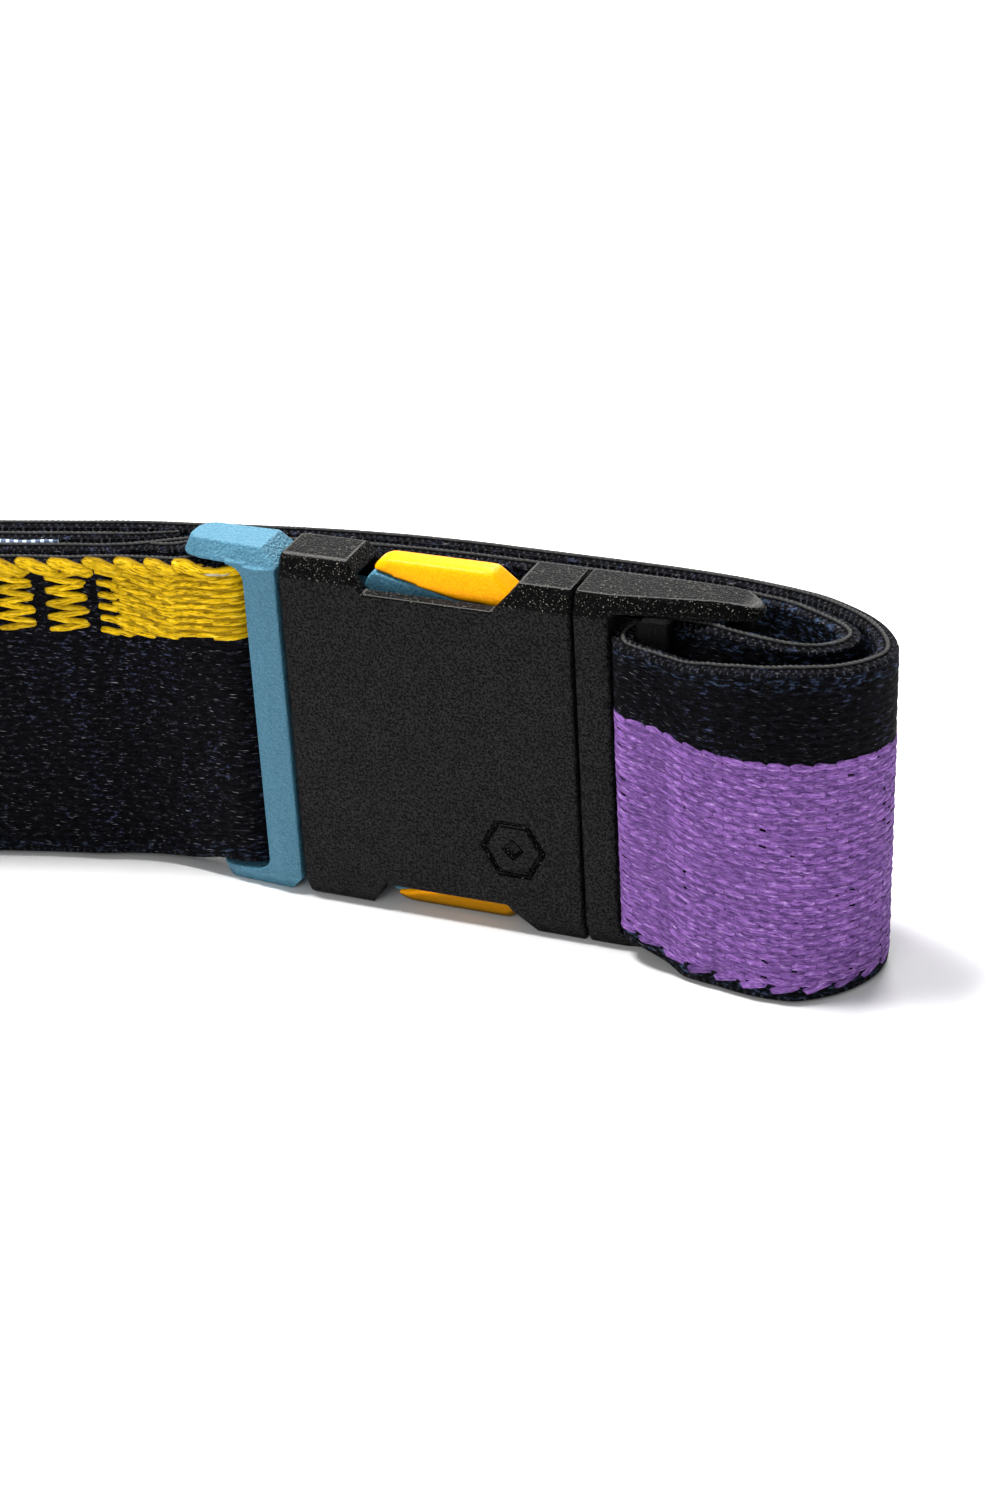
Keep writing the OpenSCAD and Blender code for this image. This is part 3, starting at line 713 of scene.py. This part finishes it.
# Each yarn's colour, its darker twist, which also colours the painted shade, and its pale fibres, which also
# stand in for its sheen
yellow_yarn = yarn_material("yellow_yarn", (0.97, 0.60, 0.002), (0.15, 0.080, 0.001), (1.0, 0.84, 0.12))
purple_yarn = yarn_material("purple_yarn", (0.300, 0.130, 0.470), (0.050, 0.022, 0.100), (0.74, 0.50, 0.90),
                            grain=(1.0, 2.8))
blue_yarn = yarn_material("blue_yarn", (0.105, 0.305, 0.470), (0.02, 0.07, 0.13), (0.25, 0.50, 0.66))
thread = yarn_material("thread", (0.020, 0.020, 0.024), (0.006, 0.006, 0.008), (0.08, 0.08, 0.09))
fray_yarn = yarn_material("fray_yarn", (0.50, 0.47, 0.36), (0.22, 0.18, 0.08), (0.80, 0.78, 0.70))


# ---------------------------------------------------------------- moulded parts

ROUNDING = 0.35  # width of a rounded edge on the smaller pieces
WIDEST_ROUNDING = 1.2  # that an edge's weight is measured against


def housing_rounding(middle, reach):
    """Rounder at the mouth's corners and along the two rails, crisp elsewhere."""
    at_mouth = middle.x < SEAM_X - 32.8
    outer = middle.y < 1.3 or middle.y > 6 or abs(middle.z - MID_Z) > 18
    if at_mouth and outer:
        return 0.9
    return 0.7 if abs(middle.z - MID_Z) > 20.6 and reach > 6 else 0.3


def placed(piece, node, material, body):
    """The finished piece, smooth and in its material, stands for the CAD node and moves with the body."""
    mesh = piece.data
    mesh.materials.clear()
    mesh.materials.append(material)
    mesh.polygons.foreach_set("use_smooth", [True] * len(mesh.polygons))
    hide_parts(node)
    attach(piece, body)


def moulded(node, material, body, slot):
    """The CAD piece with its flat faces joined and its edges rounded."""
    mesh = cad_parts[node].data.copy()
    mesh.name = "moulded_" + node
    bm = bmesh.new()
    bm.from_mesh(mesh)
    bmesh.ops.remove_doubles(bm, verts=bm.verts, dist=1e-6)
    bmesh.ops.dissolve_limit(bm, angle_limit=math.radians(0.6), verts=bm.verts, edges=bm.edges)
    layer = bm.edges.layers.float.new("bevel_weight_edge")
    for edge in bm.edges:
        if len(edge.link_faces) != 2 or edge.calc_face_angle() < math.radians(18):
            continue
        reach = edge.calc_length() / MM
        middle = (edge.verts[0].co + edge.verts[1].co) / 2 / MM
        size = housing_rounding(middle, reach) if node == "housing" else ROUNDING
        edge[layer] = min(1.0, min(size, 0.45 * max(reach, 0.3)) / WIDEST_ROUNDING)
    bm.to_mesh(mesh)
    bm.free()
    piece = bpy.data.objects.new("moulded_" + node, mesh)
    bpy.context.scene.collection.objects.link(piece)
    placed(piece, node, material, body)
    mesh.set_sharp_from_angle(angle=math.radians(40))
    bevel = piece.modifiers.new("rounding", "BEVEL")
    bevel.limit_method = "WEIGHT"
    bevel.width = WIDEST_ROUNDING * MM
    bevel.segments = 3
    bevel.use_clamp_overlap = False
    bevel.harden_normals = True


TIPS_FROM = SEAM_X - 41.9  # where the blue frame's rail tips begin
ROLL_OFF = 5.0  # length over which the black rails' ends are rounded


def draw_out_tips(mesh):
    """The upper rails of the blue frame reach a little further left, over the webbing's edge."""
    start = TIPS_FROM * MM
    for vertex in mesh.vertices:
        if vertex.co.x < start and vertex.co.z > MID_Z * MM:
            vertex.co.x += 0.44 * (vertex.co.x - start)


def roll_off_ends(mesh):
    """The free ends of the black rails are rounded over, from the outside in."""
    end = max(vertex.co.x for vertex in mesh.vertices)
    start = end - ROLL_OFF * MM
    for vertex in mesh.vertices:
        out = vertex.co.z - MID_Z * MM
        thick = abs(out) - SLOT_TOP * MM
        if vertex.co.x > start and thick > 0:
            part = (vertex.co.x - start) / (end - start)
            kept = math.sqrt(1 - 0.9 * part**2)
            vertex.co.z = MID_Z * MM + math.copysign(SLOT_TOP * MM + thick * kept, out)


def melted(node, material, body, slot, voxel, passes, shape=None):
    """The CAD piece remeshed finely and smoothed, so that all its edges and fillets run together.

    shape, if given, then moves the vertices of its mesh.
    """
    piece = bpy.data.objects.new("moulded_" + node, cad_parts[node].data.copy())
    bpy.context.scene.collection.objects.link(piece)
    remesh = piece.modifiers.new("remesh", "REMESH")
    remesh.mode = "VOXEL"
    remesh.voxel_size = voxel * MM
    smooth = piece.modifiers.new("smooth", "SMOOTH")
    smooth.factor = 0.5
    smooth.iterations = passes
    bpy.context.view_layer.update()
    evaluated = piece.evaluated_get(bpy.context.evaluated_depsgraph_get())
    mesh = bpy.data.meshes.new_from_object(evaluated)
    piece.modifiers.clear()
    piece.data = mesh
    if shape:
        shape(mesh)
    placed(piece, node, material, body)


MOULDED = {
    "housing": (black_plastic, "adjuster", "black_plastic"),
    "end_frame": (black_plastic, "adjuster", "black_plastic"),
    "ladder_bar": (shaded_bar_plastic, "adjuster", "black_plastic"),
    "end_bar": (shaded_bar_plastic, "adjuster", "black_plastic"),
    "male_frame": (blue_plastic, "male_half", "blue_plastic"),
    "anchor_bar": (blue_plastic, "male_half", "blue_plastic"),
    "centre_guide": (blue_plastic, "male_half", "blue_plastic"),
    "upper_prong": (blue_plastic, "upper_press", "blue_plastic"),
    "lower_prong": (blue_plastic, "lower_press", "blue_plastic"),
    "upper_pad": (yellow_plastic, "upper_press", "yellow_plastic"),
    "lower_pad": (yellow_plastic, "lower_press", "yellow_plastic"),
}
# Size of the remesh and passes of smoothing for the pieces whose edges are soft all over
MELTED = {
    "male_frame": (0.13, 4, draw_out_tips),
    "end_frame": (0.24, 10, roll_off_ends),
    "upper_pad": (0.20, 50),
    "lower_pad": (0.20, 50),
}
for node, looks in MOULDED.items():
    if node in MELTED:
        melted(node, *looks, *MELTED[node])
    else:
        moulded(node, *looks)


# ---------------------------------------------------------------- webbing and its pattern

ON_BUCKLE = ("right_loop", "bar_wrap", "inner_loop")
STRETCHED = ("back_stretch", "tail_stretch")
# Spacing of the mesh in each piece: along the webbing, up its face, up its back, along its selvages
STEPS = {name: (0.6, 0.30, 0.6, 0.2) for name in ROUTE}
STEPS.update({
    "anchor_loop": (0.3, 0.25, 0.5, 0.16),
    "front_run": (0.45, 0.22, 1.2, 0.16),
    "right_loop": (0.3, 0.2, 0.5, 0.13),
    "bar_wrap": (0.3, 0.25, 0.5, 0.13),
    "inner_loop": (0.35, 0.3, 0.3, 0.13),
})


def carried(piece, name):
    """The piece moves as the webbing node does, with one body; a stretched piece keeps its placement baked
    into its mesh.
    """
    if name in STRETCHED:
        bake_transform(piece)
    else:
        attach(piece, "adjuster" if name in ON_BUCKLE else "male_half")


ground = {name: webbing(name, *STEPS[name][:3]) for name in ROUTE}
trim = {name: [selvage(name, STEPS[name][3], high) for high in (True, False)] for name in ROUTE}

# Yellow band along the top of the front, from the bar to the far fold
BAND_LOW, BAND_HIGH = 28.2, 36.7
TEETH_HIGH = BAND_HIGH - 0.5
TEETH_HEIGHT = 0.52
SCALLOP = 3.8  # spacing of the rim's scallops
FAR_BLOCK = 20  # length of the closed block that follows the first columns
turn_s = strap.s_at_x("anchor_loop", -38.0)
slit_s = strap.s_at_x("front_run", -57.0)
front_end = strap.span["front_run"][1]
far_end = strap.span["front_far_run"][1]
front_columns = int((front_end - slit_s) / COLUMN)
next_s = slit_s + front_columns * COLUMN
yellow = toothed_block(turn_s, slit_s, BAND_LOW, BAND_HIGH)
yellow += zigzag(slit_s, front_columns, BAND_LOW, TEETH_HIGH, TEETH_HEIGHT)
trim["front_run"].append(floats("yarns_yellow_front", yellow, yellow_yarn))
rim = scallops(turn_s + 5.2, next_s, 35.85, 37.2, SCALLOP, height=0.8, width=1.6)
rim.append([turn_s + 0.8, 37.1, turn_s + 4.6, 36.3, 1.0, 0.6, 0.7])
trim["front_run"].append(floats("yarns_yellow_rim", rim, yellow_yarn, around=12, lengthwise=14))
fray = [
    [turn_s + 2.6, 36.2, turn_s + 5.4, 36.05, 0.5, 0.6, 1.0],
    [turn_s + 0.3, 36.5, turn_s + 1.7, 36.2, 0.5, 0.6, 0.9],
]
trim["front_run"].append(floats("yarns_frayed_end", fray, fray_yarn, lengthwise=14))
block_end = next_s + FAR_BLOCK
far_yellow = toothed_block(next_s, block_end, BAND_LOW, BAND_HIGH)
far_yellow += zigzag(block_end, int((far_end - block_end) / COLUMN), BAND_LOW, TEETH_HIGH, TEETH_HEIGHT)
far_yellow += scallops(next_s, far_end, 35.95, 37.25, SCALLOP, height=0.7, width=1.4)
trim["front_far_run"].append(floats("yarns_yellow_far", far_yellow, yellow_yarn))


def purple_block(s0, s1):
    """A closed block of fine floats with a scalloped foot."""
    # A dark bed under the floats: painted shade between them
    yarns = bed(s0 + 0.5, s1 - 0.5, 2.5, 27.5, row=0.95, height=0.29, tone_and_shade=0.25)
    yarns += twill(s0, s1, 2.1, 27.7, row=0.96, pitch=2.2, length=3.0, slant=0.22, height=0.30, width=1.2)
    foot = [[s, 2.3, s + 3.3, 1.55, 1.1, 0.36, random.uniform(0.2, 1)] for s in np.arange(s0, s1 - 1, 3.0)]
    return yarns + foot


# Round the right-hand loop, and again round the far fold
loop_start = strap.span["right_loop"][0] + 8
wrap_end = strap.s_at_x("bar_wrap", 5.6)
purple = purple_block(loop_start, wrap_end)
trim["right_loop"].append(floats("yarns_purple_loop", purple, purple_yarn, lengthwise=7))
fold_start, fold_end = strap.span["left_fold"]
purple = purple_block(fold_start + 1, fold_end - 1)
trim["left_fold"].append(floats("yarns_purple_fold", purple, purple_yarn))

# Blue band along the back
back_start = strap.span["back_far_run"][0] + 20
back_end = strap.span["back_run"][1] - 14
blue = twill(back_start, back_end, 5.0, 13.0, row=0.9, pitch=4.0, length=4.8, slant=0.5, height=0.36)
trim["back_run"].append(floats("yarns_blue_back", blue, blue_yarn))

# Each piece of the webbing moves with its trim
for name, piece in ground.items():
    for part in [piece, *trim[name]]:
        carried(part, name)


# ---------------------------------------------------------------- sewing and label


def stitches(name, rows, node):
    """Upright rows of lockstitches in the cloth, each row at its own length along the webbing."""
    yarns = [[s + jitter(0.08), w, s + jitter(0.08), w + 2.5, 0.62, 0.34, random.uniform(0.3, 1)]
             for s in rows for w in np.arange(5.8, 34.5, 3.2)]
    piece = floats(name, yarns, thread)
    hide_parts(node)
    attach(piece, "male_half")


anchor_rows = [strap.s_at_x("anchor_loop", x) for x in (-48, -50.6)]
stitches("sewn_rows_anchor", anchor_rows, "anchor_stitching")
hem_rows = [strap.s_at_x("tail_hem", bundle(u, HEM_BACK_V)[0]) for u in (-70, -64)]
stitches("sewn_rows_hem", hem_rows, "hem_stitching")


def label_material():
    """Satin ribbon: pale blue with white diagonal bars."""
    m = Nodes("label", Roughness=0.45, Specular_IOR_Level=0.3)
    place = m.uv("ribbon")
    split = m.add("SeparateXYZ")
    m.link(place, split.inputs["Vector"])
    slanted = m.math("ADD", split.outputs["X"], m.math("MULTIPLY", split.outputs["Y"], 0.5))
    bars = m.math("SINE", m.math("MULTIPLY", slanted, 6.4))
    tint = m.mix(m.ramp(bars, 0.0, 0.5), (0.05, 0.075, 0.14), (0.55, 0.68, 0.85))
    weave = m.noise(m.scaled(place, (9, 3, 1)), 1.0, 2.0)
    m.colour(m.mix(m.ramp(weave, 0.3, 0.7, 0.0, 0.3), tint, (0.16, 0.24, 0.40)))
    m.bump(weave, 0.0001)
    return m.material


def care_label():
    """A folded ribbon between the tail and its turned-back end, tapering at its free corner."""
    sewn, free = -76, -60.3
    u = np.linspace(sewn, free, 60)
    v_middle = TAIL_V + WEB_T / 2 + 0.3
    taper = np.clip((free - u) / 3.2, 0.03, 1) ** 0.6
    heights = np.array([6, 20, 33, 35.4, 36.3, 36.9, 37.15])
    thickness = np.array([0.16, 0.16, 0.18, 0.26, 0.38, 0.32, 0.12])
    w = np.concatenate([heights, heights[::-1]])
    side = np.concatenate([-thickness, thickness[::-1]])
    u_all = np.repeat(u, len(w))
    w_all = np.tile(w, len(u))
    v_all = v_middle + (side[None, :] * taper[:, None]).ravel() + 0.12 * np.sin(u_all * 1.1)
    at = np.array([bundle(a, b) for a, b in zip(u_all, v_all)])
    points = np.stack([at[:, 0] + SEAM_X, at[:, 1] + FACE_Y, w_all], axis=-1) * MM
    around = len(w)
    quads = tube_faces(len(u), around)[:, ::-1]
    caps = [np.arange(around), (len(u) - 1) * around + np.arange(around)[::-1]]
    piece = mesh_object("ribbon_label", points, quads, caps, label_material())
    add_uv(piece, "ribbon", np.stack([u_all, w_all * 0.4], axis=-1))
    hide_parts("care_label")
    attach(piece, "male_half")


care_label()

# ---------------------------------------------------------------- stage, light and camera


def floor_material():
    """Pale, slightly mottled studio floor."""
    m = Nodes("pale_floor", Roughness=0.9, Specular_IOR_Level=0.1)
    mottle = m.noise(m.add("TexCoord").outputs["Object"], 40)
    m.colour(m.mix(mottle, (0.86, 0.86, 0.86), (0.90, 0.90, 0.90)))
    return m.material


bpy.ops.mesh.primitive_plane_add(size=6, location=(0, 0, 0))
floor = bpy.context.object
floor.name = "floor"
floor.data.materials.append(floor_material())

world = bpy.data.worlds.new("studio")
bpy.context.scene.world = world
world.use_nodes = True
background = world.node_tree.nodes["Background"]
background.inputs["Color"].default_value = (0.95, 0.97, 1.0, 1)
background.inputs["Strength"].default_value = 0.33
bpy.context.scene.view_settings.view_transform = "Standard"


def area_light(name, place, target, size, power):
    """A square light of size metres and power watts at place, turned to target."""
    light = bpy.data.lights.new(name, "AREA")
    light.shape = "SQUARE"
    light.size = size
    light.energy = power
    lamp = bpy.data.objects.new(name, light)
    bpy.context.scene.collection.objects.link(lamp)
    lamp.location = place
    lamp.rotation_euler = (Vector(target) - Vector(place)).to_track_quat("-Z", "Y").to_euler()


# The lights and the camera point at one spot, just in front of the housing's face
aim = Vector((122.34, -1.89, 23.56)) * MM
area_light("key", (-0.16, 0.02, 0.80), aim, size=0.28, power=14.5)
area_light("fill", (0.10, -0.80, 0.45), aim, size=0.5, power=2.2)
area_light("back", (0.05, 0.65, 0.45), aim, size=0.35, power=5)

camera_data = bpy.data.cameras.new("camera")
camera_data.lens = 76.8
camera_data.clip_start = 0.005
camera = bpy.data.objects.new("camera", camera_data)
bpy.context.scene.collection.objects.link(camera)
# The camera stands CAMERA_DISTANCE from its aim, turned to the right of the front, raised and rolled
CAMERA_DISTANCE = 0.33524
TURNED, RAISED, ROLLED = (math.radians(angle) for angle in (24.0146, 28.3311, -3.2938))
turn = Matrix.Rotation(TURNED, 4, "Z") @ Matrix.Rotation(math.pi / 2 - RAISED, 4, "X")
back_off = Matrix.Translation((0, 0, CAMERA_DISTANCE))
camera.matrix_world = Matrix.Translation(aim) @ turn @ back_off @ Matrix.Rotation(ROLLED, 4, "Z")
bpy.context.scene.camera = camera
